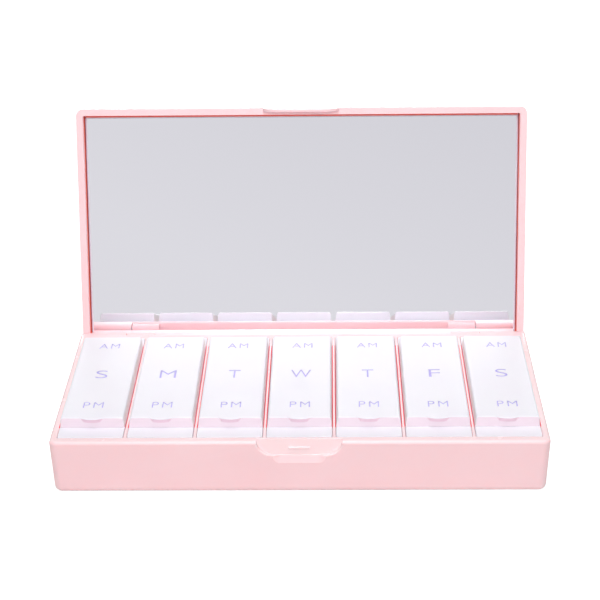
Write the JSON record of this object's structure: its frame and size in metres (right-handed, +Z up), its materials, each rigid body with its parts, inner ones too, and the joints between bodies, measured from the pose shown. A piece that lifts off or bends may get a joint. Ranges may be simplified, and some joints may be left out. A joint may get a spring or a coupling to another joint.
{
  "type": "pill organizer",
  "caption": "Flat hinged case with a mirror in its leaning lid, holding removable twin-well pill boxes with flip caps.",
  "frame": {"origin": "centre of the flat underside of the tray", "axes": "+X to the right along the row of days, +Y to the back where the lid is hinged, +Z up"},
  "size_m": [0.19, 0.133, 0.1152],
  "materials": {
    "pink_plastic": "satin moulded",
    "white_plastic": "satin moulded",
    "mirror": "silvered glass",
    "tape": "matt foam",
    "pin_steel": "bright drawn"
  },
  "bodies": {
    "tray": {"case_base": "pink_plastic", "hinge_pin_left": "pin_steel", "hinge_pin_right": "pin_steel"},
    "lid": {"case_lid": "pink_plastic", "mirror": "mirror", "mirror_tape": "tape"},
    "pod_sunday": {"pod_body_sunday": "white_plastic"},
    "cap_sunday": {"pod_cap_sunday": "white_plastic"},
    "pod_monday": {"pod_body_monday": "white_plastic"},
    "cap_monday": {"pod_cap_monday": "white_plastic"},
    "pod_tuesday": {"pod_body_tuesday": "white_plastic"},
    "cap_tuesday": {"pod_cap_tuesday": "white_plastic"},
    "pod_wednesday": {"pod_body_wednesday": "white_plastic"},
    "cap_wednesday": {"pod_cap_wednesday": "white_plastic"},
    "pod_thursday": {"pod_body_thursday": "white_plastic"},
    "cap_thursday": {"pod_cap_thursday": "white_plastic"},
    "pod_friday": {"pod_body_friday": "white_plastic"},
    "cap_friday": {"pod_cap_friday": "white_plastic"},
    "pod_saturday": {"pod_body_saturday": "white_plastic"},
    "cap_saturday": {"pod_cap_saturday": "white_plastic"}
  },
  "joints": [
    {"name": "lid_hinge", "type": "hinge", "parent": "tray", "child": "lid", "pos_m": [0, 0.0478, 0.0192], "axis": [-1, 0, 0], "range_deg": [-103.25, 0]},
    {"name": "pod_lift_sunday", "type": "slide", "parent": "tray", "child": "pod_sunday", "axis": [0, 0, 1], "range_m": [0, 0.03]},
    {"name": "cap_hinge_sunday", "type": "hinge", "parent": "pod_sunday", "child": "cap_sunday", "pos_m": [-0.0795, 0.0334, 0.02265], "axis": [-1, 0, 0], "range_deg": [0, 90]},
    {"name": "pod_lift_monday", "type": "slide", "parent": "tray", "child": "pod_monday", "axis": [0, 0, 1], "range_m": [0, 0.03]},
    {"name": "cap_hinge_monday", "type": "hinge", "parent": "pod_monday", "child": "cap_monday", "pos_m": [-0.053, 0.0334, 0.02265], "axis": [-1, 0, 0], "range_deg": [0, 90]},
    {"name": "pod_lift_tuesday", "type": "slide", "parent": "tray", "child": "pod_tuesday", "axis": [0, 0, 1], "range_m": [0, 0.03]},
    {"name": "cap_hinge_tuesday", "type": "hinge", "parent": "pod_tuesday", "child": "cap_tuesday", "pos_m": [-0.0265, 0.0334, 0.02265], "axis": [-1, 0, 0], "range_deg": [0, 90]},
    {"name": "pod_lift_wednesday", "type": "slide", "parent": "tray", "child": "pod_wednesday", "axis": [0, 0, 1], "range_m": [0, 0.03]},
    {"name": "cap_hinge_wednesday", "type": "hinge", "parent": "pod_wednesday", "child": "cap_wednesday", "pos_m": [0, 0.0334, 0.02265], "axis": [-1, 0, 0], "range_deg": [0, 90]},
    {"name": "pod_lift_thursday", "type": "slide", "parent": "tray", "child": "pod_thursday", "axis": [0, 0, 1], "range_m": [0, 0.03]},
    {"name": "cap_hinge_thursday", "type": "hinge", "parent": "pod_thursday", "child": "cap_thursday", "pos_m": [0.0265, 0.0334, 0.02265], "axis": [-1, 0, 0], "range_deg": [0, 90]},
    {"name": "pod_lift_friday", "type": "slide", "parent": "tray", "child": "pod_friday", "axis": [0, 0, 1], "range_m": [0, 0.03]},
    {"name": "cap_hinge_friday", "type": "hinge", "parent": "pod_friday", "child": "cap_friday", "pos_m": [0.053, 0.0334, 0.02265], "axis": [-1, 0, 0], "range_deg": [0, 90]},
    {"name": "pod_lift_saturday", "type": "slide", "parent": "tray", "child": "pod_saturday", "axis": [0, 0, 1], "range_m": [0, 0.03]},
    {"name": "cap_hinge_saturday", "type": "hinge", "parent": "pod_saturday", "child": "cap_saturday", "pos_m": [0.0795, 0.0334, 0.02265], "axis": [-1, 0, 0], "range_deg": [0, 90]}
  ]
}
